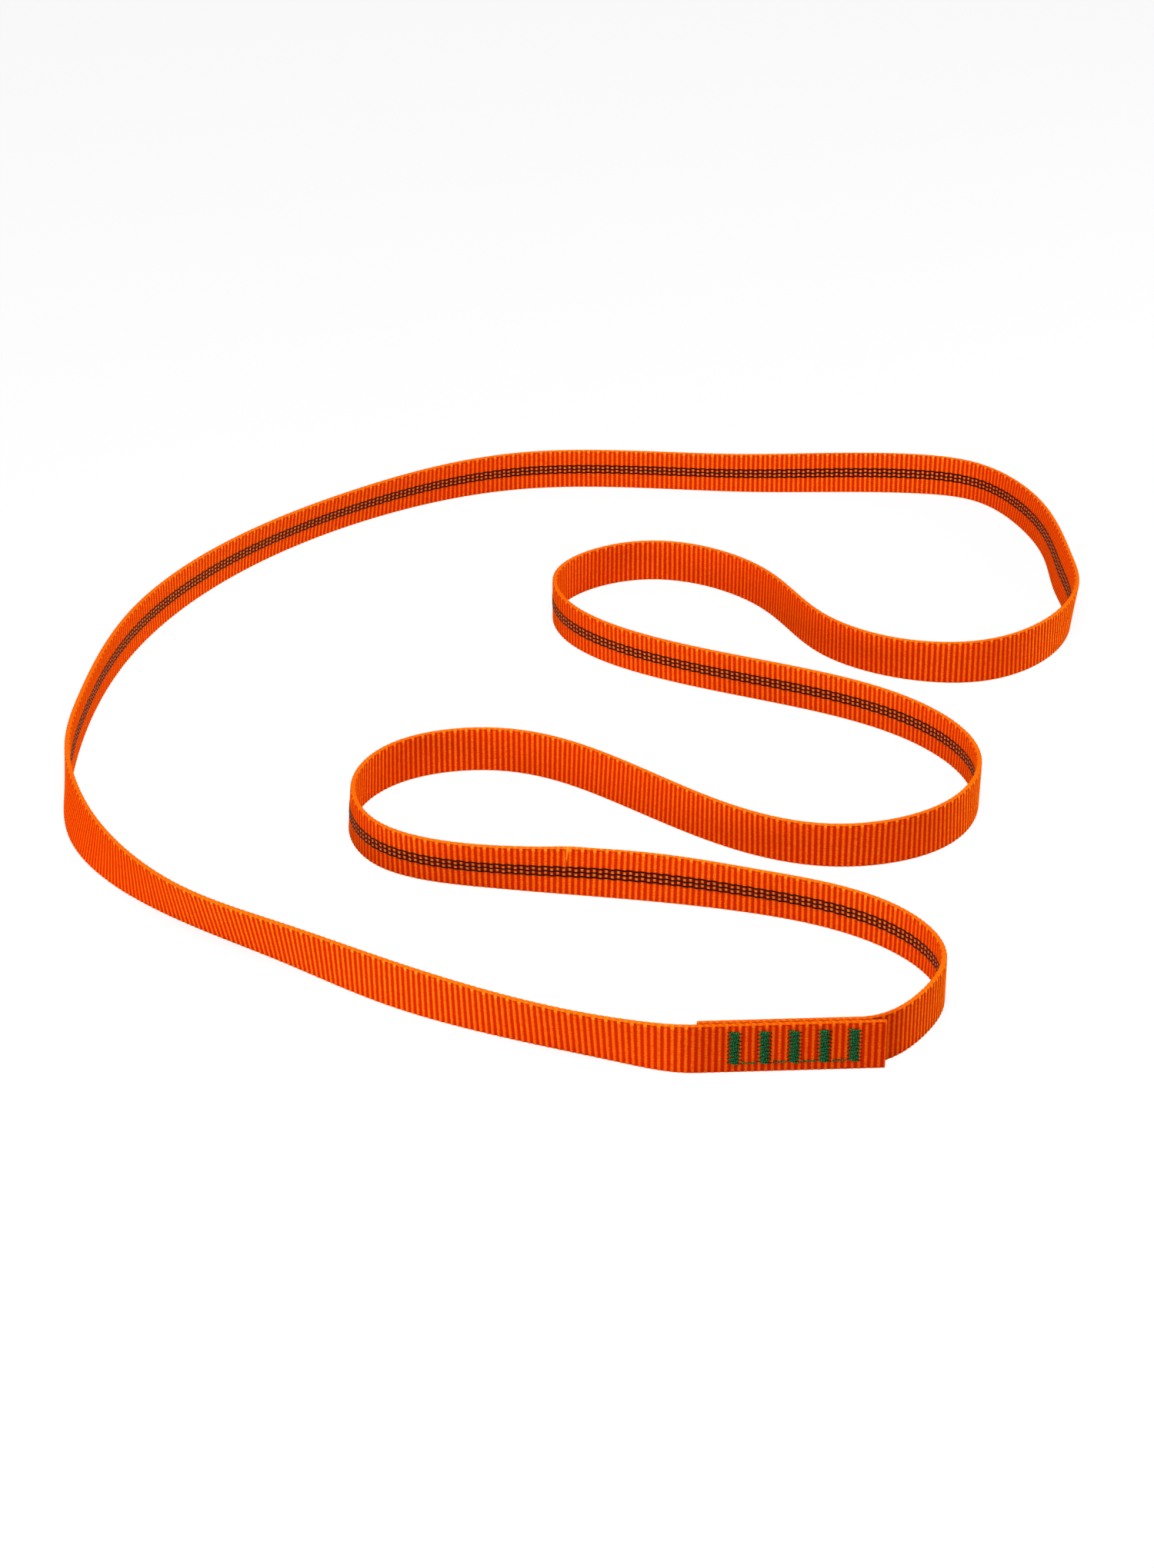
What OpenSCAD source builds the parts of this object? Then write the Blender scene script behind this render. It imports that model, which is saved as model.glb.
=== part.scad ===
// Flat web sling: one strip of ribbed climbing web, lapped and closed by five sewn bar tacks.
// It lies on its lower edge, in loose curves, as one long closed loop.

/* [Web] */
// Width of the web, which is the sling's height as it stands on edge
web_w = 19; // [16:0.5:22]
// Thickness of the web
web_t = 2.1; // [1.6:0.1:2.6]
// Bevel that stands for the round selvedges
edge_bevel = 0.5; // [0.3:0.1:0.7]

/* [Tracer yarns] */
// Width of one dark tracer yarn on the inner face
tracer_w = 0.8; // [0.6:0.1:1]
// Height that a tracer yarn stands proud of the inner face
tracer_t = 0.1; // [0.05:0.05:0.1]
// Distance between the tracer yarns
tracer_pitch = 1.75; // [1.5:0.05:2.5]

/* [Splice] */
// Length of the lap where the two plies lie on each other
lap_l = 65; // [64:1:80]
// Gap between the two plies, with room for the tracer yarns
ply_gap = 0.15; // [0.15:0.05:0.3]
// Width of one bar tack, along the web
tack_w = 4.2; // [3.5:0.1:5]
// Height of one bar tack, across the web
tack_h = 12.7; // [11:0.1:14]
// Height of the bar tacks' middle over the web's middle
tack_rise = 0.35; // [0:0.05:0.5]
// Distance between the middles of the bar tacks
tack_pitch = 10.3; // [10:0.1:11.5]
// Middle of the first tack, from the front ply's cut end
tack_inset = 11; // [8:0.5:12]

/* [Thread] */
// Width of the sewing thread as it lies on the web
thread_w = 0.6; // [0.4:0.05:0.6]
// Height that the thread stands proud of the web
thread_t = 0.4; // [0.2:0.05:0.5]
// Zigzag strokes in one bar tack
tack_strokes = 17; // [15:2:21]
// Running stitches between two bar tacks
run_stitches = 3; // [2:1:4]

/* [Sweep] */
// Largest turn of the web between two rings of points, in degrees
ring_turn = 13; // [10:1:20]
// Largest length of web between two rings of points
ring_step = 24; // [18:1:40]

/* [Hidden] */

web_colour = "orangered";
tracer_colour = "maroon";
thread_colour = "darkgreen";

// The web's route over the floor, seen from above: x and y of its lower edge in millimetres, and
// its lean in degrees, where a positive lean tips the upper edge away from the loop's inside.
// It starts at the front ply's cut end, and the loop's inside is on its right.
lap_at = [99, -257];
lap_turn = 183;
bends = [
    [9, -254, 8], [-75, -215, 2], [-113, -186, 12], [-153, -156, 14], [-202, -95, -16],
    [-210, -45, -1], [-210, 0, -1], [-197, 84, 1], [-108, 222, -11], [-32, 262, -2],
    [77, 258, 3], [155, 256, 11], [180, 249, 3], [199, 220, 8], [208, 176, 11],
    [208, 140, 18], [209, 106, 8], [165, 49, -1], [128, 53, 4], [99, 76, 0],
    [74, 126, -1], [24, 155, 1], [-15, 124, 0], [-13, 94, 0], [28, 52, -3],
    [132, -10, 0], [151, -55, 2], [134, -99, -2], [96, -114, 4], [9, -62, -4],
    [-38, -34, 0], [-77, -44, 1], [-95, -80, 4], [-83, -113, 0], [-37, -131, -5],
    [8, -139, 11], [59, -150, -2], [109, -179, 2], [123, -210, 0], [114, -236, 0]
];
lead_in = 9;       // length of rear ply that is already straight before the lap
ease_passes = 16;  // passes that even out the curve's bend on both sides of each point

lap_dir = [cos(lap_turn), sin(lap_turn), 0];
lap_inward = [lap_dir.y, -lap_dir.x, 0];
ply_step = web_t + ply_gap;
lap_start = [lap_at.x, lap_at.y, 0];
rear_start = lap_start + ply_step * lap_inward;
stations = concat(
    [lap_start, lap_start + lap_l * lap_dir],
    bends,
    [rear_start + lead_in * lap_dir, rear_start + lap_l * lap_dir]
);
last = len(stations) - 1;

function flat(v) = [v.x, v.y];
gaps = [for (i = [0 : last - 1]) norm(flat(stations[i + 1] - stations[i]))];
chords = [for (i = [0 : last - 1]) (stations[i + 1] - stations[i]) / gaps[i]];

// Slope of the route at each station, per millimetre. The lap's ends stay straight.
function in_lap(i) = i < 2 || i > last - 2;
function mean_slope(i) =
    (gaps[i] * chords[i - 1] + gaps[i - 1] * chords[i]) / (gaps[i] + gaps[i - 1]);
// A cubic's bend is the same on both sides of station i when its slope is this
function even_slope(s, i) =
    (3 * (chords[i - 1] / gaps[i - 1] + chords[i] / gaps[i]) - s[i - 1] / gaps[i - 1] - s[i + 1] / gaps[i])
    / (2 * (1 / gaps[i - 1] + 1 / gaps[i]));
function eased(s, passes) =
    passes == 0 ? s
    : eased([for (i = [0 : last]) in_lap(i) ? lap_dir : even_slope(s, i)], passes - 1);
slopes = eased([for (i = [0 : last]) in_lap(i) ? lap_dir : mean_slope(i)], ease_passes);

// Cubic between two stations: its place and its heading at u, from 0 to 1
function place(i, u) =
    (2 * u^3 - 3 * u^2 + 1) * stations[i] + (u^3 - 2 * u^2 + u) * gaps[i] * slopes[i]
    + (3 * u^2 - 2 * u^3) * stations[i + 1] + (u^3 - u^2) * gaps[i] * slopes[i + 1];
function heading(i, u) =
    (6 * u^2 - 6 * u) * (stations[i] - stations[i + 1])
    + (3 * u^2 - 4 * u + 1) * gaps[i] * slopes[i] + (3 * u^2 - 2 * u) * gaps[i] * slopes[i + 1];
function unit(v) = v / norm(v);
function turn_between(a, b) = acos(min(1, unit(flat(a)) * unit(flat(b))));
function rings_in(i) =
    i == 0 || i == last - 1 ? 1
    : max(ceil(gaps[i] / ring_step), ceil(turn_between(slopes[i], slopes[i + 1]) / ring_turn));

// One ring is [foot, up, out]: the middle of the web's lower edge, the way up the web, and outwards
function ring(i, u) =
    let (
        at = place(i, u),
        ahead = unit(flat(heading(i, u))),
        outward = [-ahead.y, ahead.x, 0],
        lift = (web_t / 2 - edge_bevel) * abs(sin(at.z))
    )
    [[at.x, at.y, lift], [outward.x * sin(at.z), outward.y * sin(at.z), cos(at.z)],
     [outward.x * cos(at.z), outward.y * cos(at.z), -sin(at.z)]];
rings = [
    for (i = [0 : last - 1], k = [0 : rings_in(i) - 1]) ring(i, k / rings_in(i)),
    ring(last - 1, 1)
];

// Cross-sections as [height up the web, distance outwards from its middle]. The inner face has
// points where the tracer yarns' edges lie, so that the yarns touch it all the way.
half_t = web_t / 2;
tracer_heights = [for (k = [1 : -1 : -1]) web_w / 2 + k * tracer_pitch];
web_section = concat(
    [[0, edge_bevel - half_t], [0, half_t - edge_bevel], [edge_bevel, half_t],
     [web_w - edge_bevel, half_t], [web_w, half_t - edge_bevel], [web_w, edge_bevel - half_t],
     [web_w - edge_bevel, -half_t]],
    [for (z = tracer_heights, side = [1, -1]) [z + side * tracer_w / 2, -half_t]],
    [[edge_bevel, -half_t]]
);
function tracer_section(z) = [
    [z - tracer_w / 2, -half_t], [z + tracer_w / 2, -half_t],
    [z + tracer_w / 2, -half_t - tracer_t], [z - tracer_w / 2, -half_t - tracer_t]
];

// A section's points, ring after ring
function swept(section) = [for (r = rings, p = section) r[0] + p[0] * r[1] + p[1] * r[2]];

// The origin is the middle of the floor under the sling
web_points = swept(web_section);
xs = [for (p = web_points) p.x];
ys = [for (p = web_points) p.y];
centre = [(min(xs) + max(xs)) / 2, (min(ys) + max(ys)) / 2, 0];

// A section swept along the rings, as triangles. Each end is a fan from the section's third point,
// because no other two points are in line with it.
module sweep(section) {
    sides = len(section);
    end = sides * (len(rings) - 1);
    wall = [
        for (k = [0 : len(rings) - 2], j = [0 : sides - 1])
            let (a = k * sides + j, b = k * sides + (j + 1) % sides)
            each [[a, b + sides, b], [a, a + sides, b + sides]]
    ];
    near = [for (j = [0 : sides - 1]) (j + 2) % sides];
    far = [for (j = [0 : sides - 1]) end + (sides + 2 - j) % sides];
    translate(-centre) polyhedron(swept(section), concat(wall, [near, far]));
}

// The splice's own frame: x along the lap from the front ply's cut end, y outwards, z up.
// The thread in front lies on the web at front_face. Behind it crosses over the tracer yarns,
// at rear_face.
front_face = half_t;
rear_face = -half_t - ply_step - tracer_t;
mid_plane = -ply_step / 2;
needle_r = 0.25;  // radius of the thread in a needle hole
needle_sides = 6; // a needle hole is six-sided, so that it is no bore
tack_foot = (web_w - tack_h) / 2 + tack_rise;
hole_past = 1;    // how far a needle hole is cut past the web's faces
tacks = [0 : 4];
runs = [0 : 3];
run_inset = 0.5;  // from a tack's edge to the nearest running stitch
run_rise = 0.35;  // from the tacks' lower ends up to the running stitches
run_gap = tack_pitch - tack_w - 2 * run_inset;

module splice_frame() {
    translate(lap_start - centre) rotate(lap_turn) children();
}

// Where the needle goes through for a bar tack, as [along the lap, height]
function tack_x(k) = tack_inset + k * tack_pitch;
function tack_needle(k) = [
    for (s = [0 : tack_strokes])
        [tack_x(k) + (s % 2 == 0 ? -1 : 1) * (tack_w / 2 - needle_r), tack_foot + s * tack_h / tack_strokes]
];
// Where it goes through for the running stitches after tack k
function run_needle(k) = [
    for (s = [0 : run_stitches])
        [tack_x(k) + tack_w / 2 + run_inset + s * run_gap / run_stitches, tack_foot + run_rise]
];

// A round leg of thread, or the hole for it, from one depth to a lower one
module leg(at, from, to) {
    translate([at[0], from, at[1]]) rotate([90, 0, 0])
        cylinder(h = from - to, r = needle_r, $fn = needle_sides);
}

// One straight stroke of thread, as a flat bar with its corners past the needle's two places
module stroke(a, b) {
    ahead = unit(b - a) * thread_w / 2;
    side = [-ahead.y, ahead.x];
    polygon([a - ahead + side, a - ahead - side, b + ahead - side, b + ahead + side]);
}

module stitches(needle, face) {
    translate([0, face, 0]) rotate([90, 0, 0]) linear_extrude(thread_t)
        for (s = [0 : len(needle) - 2]) stroke(needle[s], needle[s + 1]);
}

// The needle's thread lies on the front face, and the shuttle's on the rear face. They lock
// between the two plies.
module front_thread(needle) {
    color(thread_colour) splice_frame() {
        stitches(needle, front_face + thread_t);
        for (at = needle) leg(at, front_face + thread_t / 2, mid_plane);
    }
}

module rear_thread(needle) {
    color(thread_colour) splice_frame() {
        stitches(needle, rear_face);
        for (at = needle) leg(at, mid_plane, rear_face - thread_t / 2);
    }
}

module needle_holes() {
    splice_frame() {
        for (k = tacks, at = tack_needle(k)) leg(at, front_face + hole_past, rear_face - hole_past);
        for (k = runs, at = run_needle(k)) leg(at, front_face + hole_past, rear_face - hole_past);
    }
}

module webbing() {
    color(web_colour) difference() {
        sweep(web_section);
        needle_holes();
    }
}

module tracer(z) {
    color(tracer_colour) difference() {
        sweep(tracer_section(z));
        needle_holes();
    }
}

webbing();
tracer(tracer_heights[0]);  // tracer_upper
tracer(tracer_heights[1]);  // tracer_middle
tracer(tracer_heights[2]);  // tracer_lower
for (k = tacks) {
    front_thread(tack_needle(k));
    rear_thread(tack_needle(k));
}
for (k = runs) {
    front_thread(run_needle(k));
    rear_thread(run_needle(k));
}
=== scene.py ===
"""Flat web sling: ribbed nylon web, three tracer yarns, and a splice of five zigzag bar tacks."""
import math

import bpy
import numpy as np
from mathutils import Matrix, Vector
from mathutils.bvhtree import BVHTree


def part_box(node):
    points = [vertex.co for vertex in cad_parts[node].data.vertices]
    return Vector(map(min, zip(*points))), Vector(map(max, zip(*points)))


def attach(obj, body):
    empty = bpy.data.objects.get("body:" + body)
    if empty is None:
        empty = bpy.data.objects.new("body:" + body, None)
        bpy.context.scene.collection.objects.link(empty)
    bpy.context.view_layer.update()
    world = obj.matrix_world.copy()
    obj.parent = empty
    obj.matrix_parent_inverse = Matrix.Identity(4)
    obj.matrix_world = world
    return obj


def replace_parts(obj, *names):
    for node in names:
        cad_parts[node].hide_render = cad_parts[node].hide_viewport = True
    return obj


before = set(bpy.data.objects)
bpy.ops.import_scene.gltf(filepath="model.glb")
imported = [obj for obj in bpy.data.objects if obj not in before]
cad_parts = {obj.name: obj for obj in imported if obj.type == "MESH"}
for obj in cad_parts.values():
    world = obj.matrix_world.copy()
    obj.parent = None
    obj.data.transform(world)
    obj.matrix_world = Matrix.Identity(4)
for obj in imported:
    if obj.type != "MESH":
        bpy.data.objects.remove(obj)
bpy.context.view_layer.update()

bl_info = {
    "name": "Flat web sling",
    "version": (1, 0, 0),
    "blender": (4, 5, 0),
    "location": "View3D > Sidebar > Sling",
    "description": "Builds a sewn loop of ribbed web that lies on edge in loose curves",
    "category": "Add Mesh",
}

# ---------------- the photograph's image points
# The frame that the points are given in: the photograph, scaled down to a long side of 1568.
PHOTO_W, PHOTO_H = 1153.5, 1568.0
EDGES = {"left": 63.5, "right": 1078.0, "top": 449.0, "bottom": 1074.0}
POINTS = {
    "tack_1": (853.7, 1044.7),
    "tack_2": (825.1, 1045.5),
    "tack_3": (794.4, 1046.6),
    "tack_4": (764.5, 1047.4),
    "tack_5": (733.9, 1047.8),
    "front_cut_end": (884.5, 1019.5),
    "rear_cut_end": (697.0, 1018.5),
    "bend_left_mid": (345.0, 793.0),
    "bend_left_small": (552.0, 600.0),
    "bend_right_mid": (982.0, 761.0),
    "bend_right_low": (945.5, 958.0),
    "crease": (567.5, 850.0),
}

# ---------------- the camera, settled first
LENS = 77.0              # mm, on a 36 mm sensor along the photograph's long side
SENSOR = 36.0
ELEVATION = math.radians(27.5)
DISTANCE = 1.3416        # m, from the camera to the floor along its axis
RAY_STEPS = np.linspace(0.8, 2.0, 121)   # m from the camera, from before to past the whole sling
AIM = (-0.0069, -0.046)  # where the axis meets the floor, on the route's own plan
SHIFT_X, SHIFT_Y = 0.0, 0.0

# ---------------- the web's route, as in part.scad
# x and y of the web's lower edge in metres, and its lean in degrees. A positive lean tips the
# upper edge away from the loop's inside, which is on the right of the way along.
LAP_AT = (0.099, -0.257)
LAP_TURN = math.radians(183)
LAP_LENGTH = 0.065
PLY_STEP = 0.00225       # from the middle of the front ply to the middle of the rear ply
LEAD_IN = 0.009          # rear ply that is already straight before the lap
EASE_PASSES = 16         # passes that even out the route's bend on both sides of each point
BENDS = (
    (0.009, -0.254, 8), (-0.075, -0.215, 2), (-0.113, -0.186, 12), (-0.153, -0.156, 14),
    (-0.202, -0.095, -16), (-0.210, -0.045, -1), (-0.210, 0.000, -1), (-0.197, 0.084, 1),
    (-0.108, 0.222, -11), (-0.032, 0.262, -2), (0.077, 0.258, 3), (0.155, 0.256, 11),
    (0.180, 0.249, 3), (0.199, 0.220, 8), (0.208, 0.176, 11), (0.208, 0.140, 18),
    (0.209, 0.106, 8), (0.165, 0.049, -1), (0.128, 0.053, 4), (0.099, 0.076, 0),
    (0.074, 0.126, -1), (0.024, 0.155, 1), (-0.015, 0.124, 0), (-0.013, 0.094, 0),
    (0.028, 0.052, -3), (0.132, -0.010, 0), (0.151, -0.055, 2), (0.134, -0.099, -2),
    (0.096, -0.114, 4), (0.009, -0.062, -4), (-0.038, -0.034, 0), (-0.077, -0.044, 1),
    (-0.095, -0.080, 4), (-0.083, -0.113, 0), (-0.037, -0.131, -5), (0.008, -0.139, 11),
    (0.059, -0.150, -2), (0.109, -0.179, 2), (0.123, -0.210, 0), (0.114, -0.236, 0),
)

# ---------------- the splice, as in part.scad
MM = 0.001
EDGE_BEVEL = 0.5 * MM    # bevel of the CAD strip, which a leaning web stands on
THREAD_PROUD = 0.4 * MM  # height of the CAD thread over the web
TACK_INSET = 11 * MM     # from the front ply's cut end to the first tack's middle
TACK_PITCH = 10.3 * MM
TACK_COUNT = 5
TACK_W = 4.2 * MM
TACK_H = 12.7 * MM
TACK_RISE = 0.35 * MM    # of the tacks' middle over the web's middle
TACK_STROKES = 17
RUN_INSET = 0.5 * MM     # from a tack's edge to the nearest running stitch
RUN_RISE = 0.35 * MM     # of the running stitches over the tacks' lower ends
RUN_STITCHES = 3
TRACER_PITCH = 1.75 * MM


def metres(name, about, default):
    return bpy.props.FloatProperty(name=name, description=about, default=default, unit="LENGTH")


def hex_colour(name, about, default):
    return bpy.props.StringProperty(name=name, description=f"{about}, sRGB hex", default=default)


class WebProps(bpy.types.PropertyGroup):
    width: metres("Width", "Width of the web", 0.019)
    thickness: metres("Thickness", "Thickness of the web at the ribs", 0.0021)
    rib_pitch: metres("Rib pitch", "Distance between two ribs", 0.00229)
    rib_depth: metres("Rib depth", "Depth of the valley between two ribs", 0.00027)
    warp_pitch: metres("Warp pitch", "Distance between two warp yarns", 0.00062)
    crest: hex_colour("Crest colour", "Yarn on the rib's crest", "#F04706")
    # The valley colour, darker than the crest's, is painted shade between the ribs
    valley: hex_colour("Valley colour", "Yarn between the ribs", "#C62400")
    selvedge: hex_colour("Selvedge colour", "Loops along the edges", "#F0640A")
    shine: bpy.props.FloatProperty(
        name="Shine", description="Share of light that the crests throw back golden", default=0.3,
        min=0.0, max=1.0, subtype="FACTOR")


class TracerProps(bpy.types.PropertyGroup):
    width: metres("Width", "Width of a tracer yarn", 0.00076)
    thickness: metres("Thickness", "Thickness of a tracer yarn", 0.00030)
    sway: metres("Sway", "Height that a yarn sways by between ribs", 0.00012)
    colour: hex_colour("Colour", "Tracer yarn", "#260302")


class ThreadProps(bpy.types.PropertyGroup):
    diameter: metres("Diameter", "Diameter of the sewing thread", 0.00054)
    # The light colour is a painted highlight on each ply, and the dark one the dye with painted
    # shade between the plies
    light: hex_colour("Light colour", "Thread where it catches light", "#0A863E")
    dark: hex_colour("Dark colour", "Thread between its plies", "#00200C")


class StageProps(bpy.types.PropertyGroup):
    floor: hex_colour("Floor colour", "Floor", "#F4F4F4")
    top_power: bpy.props.FloatProperty(
        name="Top light", description="Power of the lamp overhead, in watts", default=18.5)
    left_power: bpy.props.FloatProperty(
        name="Left light", description="Power of the lamp on the left, in watts", default=8.0)
    right_power: bpy.props.FloatProperty(
        name="Right light", description="Power of the lamp on the right, in watts", default=7.0)
    ambient: bpy.props.FloatProperty(
        name="Ambient", description="Strength of the white surroundings", default=0.22)


# ================ the route
UPRIGHT = np.array([0.0, 0.0, 1.0])


def stations():
    """Points that the route goes through, as x, y in metres and lean in degrees, and the way along
    the lap."""
    along = np.array([math.cos(LAP_TURN), math.sin(LAP_TURN), 0.0])
    inward = np.array([along[1], -along[0], 0.0])
    start = np.array([*LAP_AT, 0.0])
    rear = start + PLY_STEP * inward
    return np.vstack([start, start + LAP_LENGTH * along, BENDS, rear + LEAD_IN * along,
                      rear + LAP_LENGTH * along]), along


def slopes(points, lap_dir):
    """Slope of the route at each point, per metre of the way.

    It starts as the mean of the two chords, each weighted by the other's length. Then each pass
    sets it so that the cubics on both sides bend alike. The lap's ends stay straight."""
    gap = np.linalg.norm(np.diff(points[:, :2], axis=0), axis=1)[:, None]
    chord = np.diff(points, axis=0) / gap
    slope = np.zeros_like(points)
    slope[1:-1] = (gap[1:] * chord[:-1] + gap[:-1] * chord[1:]) / (gap[1:] + gap[:-1])
    pinned = [0, 1, -2, -1]
    slope[pinned] = lap_dir
    for _ in range(EASE_PASSES):
        eased = slope.copy()
        pull = 3 * (chord[:-1] / gap[:-1] + chord[1:] / gap[1:])
        pull -= slope[:-2] / gap[:-1] + slope[2:] / gap[1:]
        eased[1:-1] = pull / (2 * (1 / gap[:-1] + 1 / gap[1:]))
        eased[pinned] = lap_dir
        slope = eased
    return slope, gap


class Route:
    """The web's way over the floor: its place, lean and three directions at a distance along it."""

    STEPS = 240   # places per stretch that the distance is measured with

    def __init__(self, width, thickness):
        self.thickness = thickness
        self.points, self.lap_dir = stations()
        self.lap_out = np.array([-self.lap_dir[1], self.lap_dir[0], 0.0])
        self.slope, self.gap = slopes(self.points, self.lap_dir)
        self.shift = np.zeros(3)
        count = len(self.points) - 1
        self.station = np.linspace(0, count, count * self.STEPS + 1)
        foot, up, _ = self.at_station(self.station)
        middle = foot + up * width / 2
        steps = np.linalg.norm(np.diff(middle, axis=0), axis=1)
        self.distance = np.concatenate([[0.0], np.cumsum(steps)])
        self.length = float(self.distance[-1])

    def at_station(self, station):
        """Cubic between two points: its foot on the floor, the way up the web, and the way
        outwards."""
        i = np.minimum(station.astype(int), len(self.points) - 2)
        u = (station - i)[:, None]
        a, b = self.points[i], self.points[i + 1]
        sa, sb = self.slope[i] * self.gap[i], self.slope[i + 1] * self.gap[i]
        at = (2*u**3 - 3*u**2 + 1) * a + (u**3 - 2*u**2 + u) * sa
        at += (3*u**2 - 2*u**3) * b + (u**3 - u**2) * sb
        way = (6*u**2 - 6*u) * (a - b) + (3*u**2 - 4*u + 1) * sa + (3*u**2 - 2*u) * sb
        way = way[:, :2] / np.linalg.norm(way[:, :2], axis=1)[:, None]
        lean = np.radians(at[:, 2])[:, None]
        side = np.column_stack([-way[:, 1], way[:, 0], np.zeros(len(way))])
        up = np.cos(lean) * UPRIGHT + np.sin(lean) * side
        out = np.cos(lean) * side - np.sin(lean) * UPRIGHT
        lift = (self.thickness / 2 - EDGE_BEVEL) * np.abs(np.sin(lean))
        foot = np.column_stack([at[:, :2], np.zeros(len(at))]) + lift * UPRIGHT
        return foot + self.shift, up, out

    def at(self, distance):
        """The same, at a distance along the middle of the web."""
        return self.at_station(np.interp(distance, self.distance, self.station))


def splice_point(route, along, outward, height):
    """A place in the splice: along the lap from the front ply's cut end, outwards, and up."""
    start = np.array([*LAP_AT, 0.0]) + route.shift
    along, outward, height = np.broadcast_arrays(along, outward, height)
    return (start + along[..., None] * route.lap_dir + outward[..., None] * route.lap_out
            + height[..., None] * UPRIGHT)


def set_route(web):
    """The route, moved so that its splice lies where the CAD model's middle tack is."""
    route = Route(web.width, web.thickness)
    low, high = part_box("front_tack_3")
    found = (np.array(low) + np.array(high)) / 2
    depth = (web.thickness / 2 + THREAD_PROUD - PLY_STEP / 2) / 2
    meant = splice_point(route, TACK_INSET + 2 * TACK_PITCH, depth, web.width / 2)
    route.shift = np.array([found[0] - meant[0], found[1] - meant[1], 0.0])
    return route


# ================ meshes and nodes
def tube_quads(rings, sides, first=0):
    """A tube's points, numbered ring after ring, and the four points of each face between rings."""
    index = first + np.arange(rings * sides).reshape(rings, sides)
    beside = np.roll(index, -1, axis=1)
    return index, np.stack([index[:-1], beside[:-1], beside[1:], index[1:]], axis=-1)


def carried(shape, *values):
    """What each point of a tube carries, as one row of numbers for each point."""
    rows = np.stack([np.broadcast_to(value, shape) for value in values], axis=-1)
    return rows.reshape(-1, len(values))


def new_piece(name, tubes, material, attributes):
    """One mesh of closed tubes, which rides the root. A tube is an array of rings, sides and x, y,
    z, and attributes are the vectors that its points carry."""
    points, loops, sizes = [], [], []
    first = 0
    for tube in tubes:
        rings, sides = tube.shape[:2]
        index, quads = tube_quads(rings, sides, first)
        loops += [quads.ravel(), index[0][::-1], index[-1]]
        sizes += [np.full(quads.shape[0] * sides, 4), [sides], [sides]]
        points.append(tube.reshape(-1, 3))
        first += rings * sides
    points = np.vstack(points)
    loops = np.concatenate(loops)
    sizes = np.concatenate(sizes)
    mesh = bpy.data.meshes.new(name)
    mesh.vertices.add(len(points))
    mesh.vertices.foreach_set("co", points.astype(np.float32).ravel())
    mesh.loops.add(len(loops))
    mesh.loops.foreach_set("vertex_index", loops.astype(np.int32))
    mesh.polygons.add(len(sizes))
    starts = np.concatenate([[0], np.cumsum(sizes)[:-1]])
    mesh.polygons.foreach_set("loop_start", starts.astype(np.int32))
    mesh.update(calc_edges=True)
    mesh.polygons.foreach_set("use_smooth", sizes == 4)
    for key, values in attributes.items():
        layer = mesh.attributes.new(key, "FLOAT_VECTOR", "POINT")
        layer.data.foreach_set("vector", values.astype(np.float32).ravel())
    mesh.validate()
    mesh.materials.append(material)
    piece = bpy.data.objects.new(name, mesh)
    bpy.context.scene.collection.objects.link(piece)
    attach(piece, "root")
    return piece


def round_tube(path, across, wide, thick, sides):
    """An oval carried along a path, with its width along across and its thickness square to it:
    half the width times a cosine that way, and half the thickness times a sine the other."""
    way = np.gradient(path, axis=0)
    way /= np.linalg.norm(way, axis=1)[:, None]
    across = across - way * np.sum(across * way, axis=1)[:, None]
    across /= np.linalg.norm(across, axis=1)[:, None]
    third = np.cross(way, across)
    turn = np.linspace(0, 2 * math.pi, sides, endpoint=False)
    cos, sin = np.cos(turn)[None, :, None], np.sin(turn)[None, :, None]
    return (path[:, None] + across[:, None] * cos * wide / 2 + third[:, None] * sin * thick / 2)


def linear(code):
    """An sRGB hex colour as the linear values that a shader takes, with its alpha."""
    parts = [int(code[i:i + 2], 16) / 255 for i in (1, 3, 5)]
    return [p / 12.92 if p <= 0.04045 else ((p + 0.055) / 1.055) ** 2.4 for p in parts] + [1.0]


def put(tree, socket, value):
    """Gives a socket what a node gives, a hex colour or a plain value. None leaves it alone."""
    if isinstance(value, Given):
        tree.links.new(value.socket, socket)
    elif isinstance(value, str):
        socket.default_value = linear(value)
    elif value is not None:
        socket.default_value = value


def add(tree, kind, *inputs, **settings):
    """Adds a node with its settings and inputs, and gives its first output."""
    node = tree.nodes.new(kind)
    for key, value in settings.items():
        setattr(node, key, value)
    for socket, value in zip(node.inputs, inputs):
        put(tree, socket, value)
    return Given(node)


def worked_out_by(operation):
    """A method that adds a Math node, for one of the operators of Given."""
    def method(self, *others):
        return add(self.tree, "ShaderNodeMath", self, *others, operation=operation)
    return method


class Given:
    """What a node gives. Sums and products of it add the nodes that work them out. The node's other
    outputs go by name or number."""

    def __init__(self, node, output=0):
        self.node = node
        self.tree = node.id_data
        self.socket = node.outputs[output]

    def __getitem__(self, output):
        return Given(self.node, output)

    def __rsub__(self, other):
        return add(self.tree, "ShaderNodeMath", other, self, operation="SUBTRACT")

    __add__ = worked_out_by("ADD")
    __sub__ = worked_out_by("SUBTRACT")
    __mul__ = worked_out_by("MULTIPLY")
    __truediv__ = worked_out_by("DIVIDE")
    __abs__ = worked_out_by("ABSOLUTE")
    __round__ = worked_out_by("ROUND")


def ramp(value, low, high):
    """0 at low, 1 at high, and smooth between them. High may be the lower number."""
    if high < low:
        return 1.0 - ramp(value, high, low)
    return add(value.tree, "ShaderNodeMapRange", value, low, high, 0.0, 1.0,
               interpolation_type="SMOOTHSTEP")


def wave(value):
    """A raised cosine: 1 wherever the value is whole, and 0 half-way between."""
    return add(value.tree, "ShaderNodeMath", value * (2 * math.pi), operation="COSINE") * 0.5 + 0.5


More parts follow.
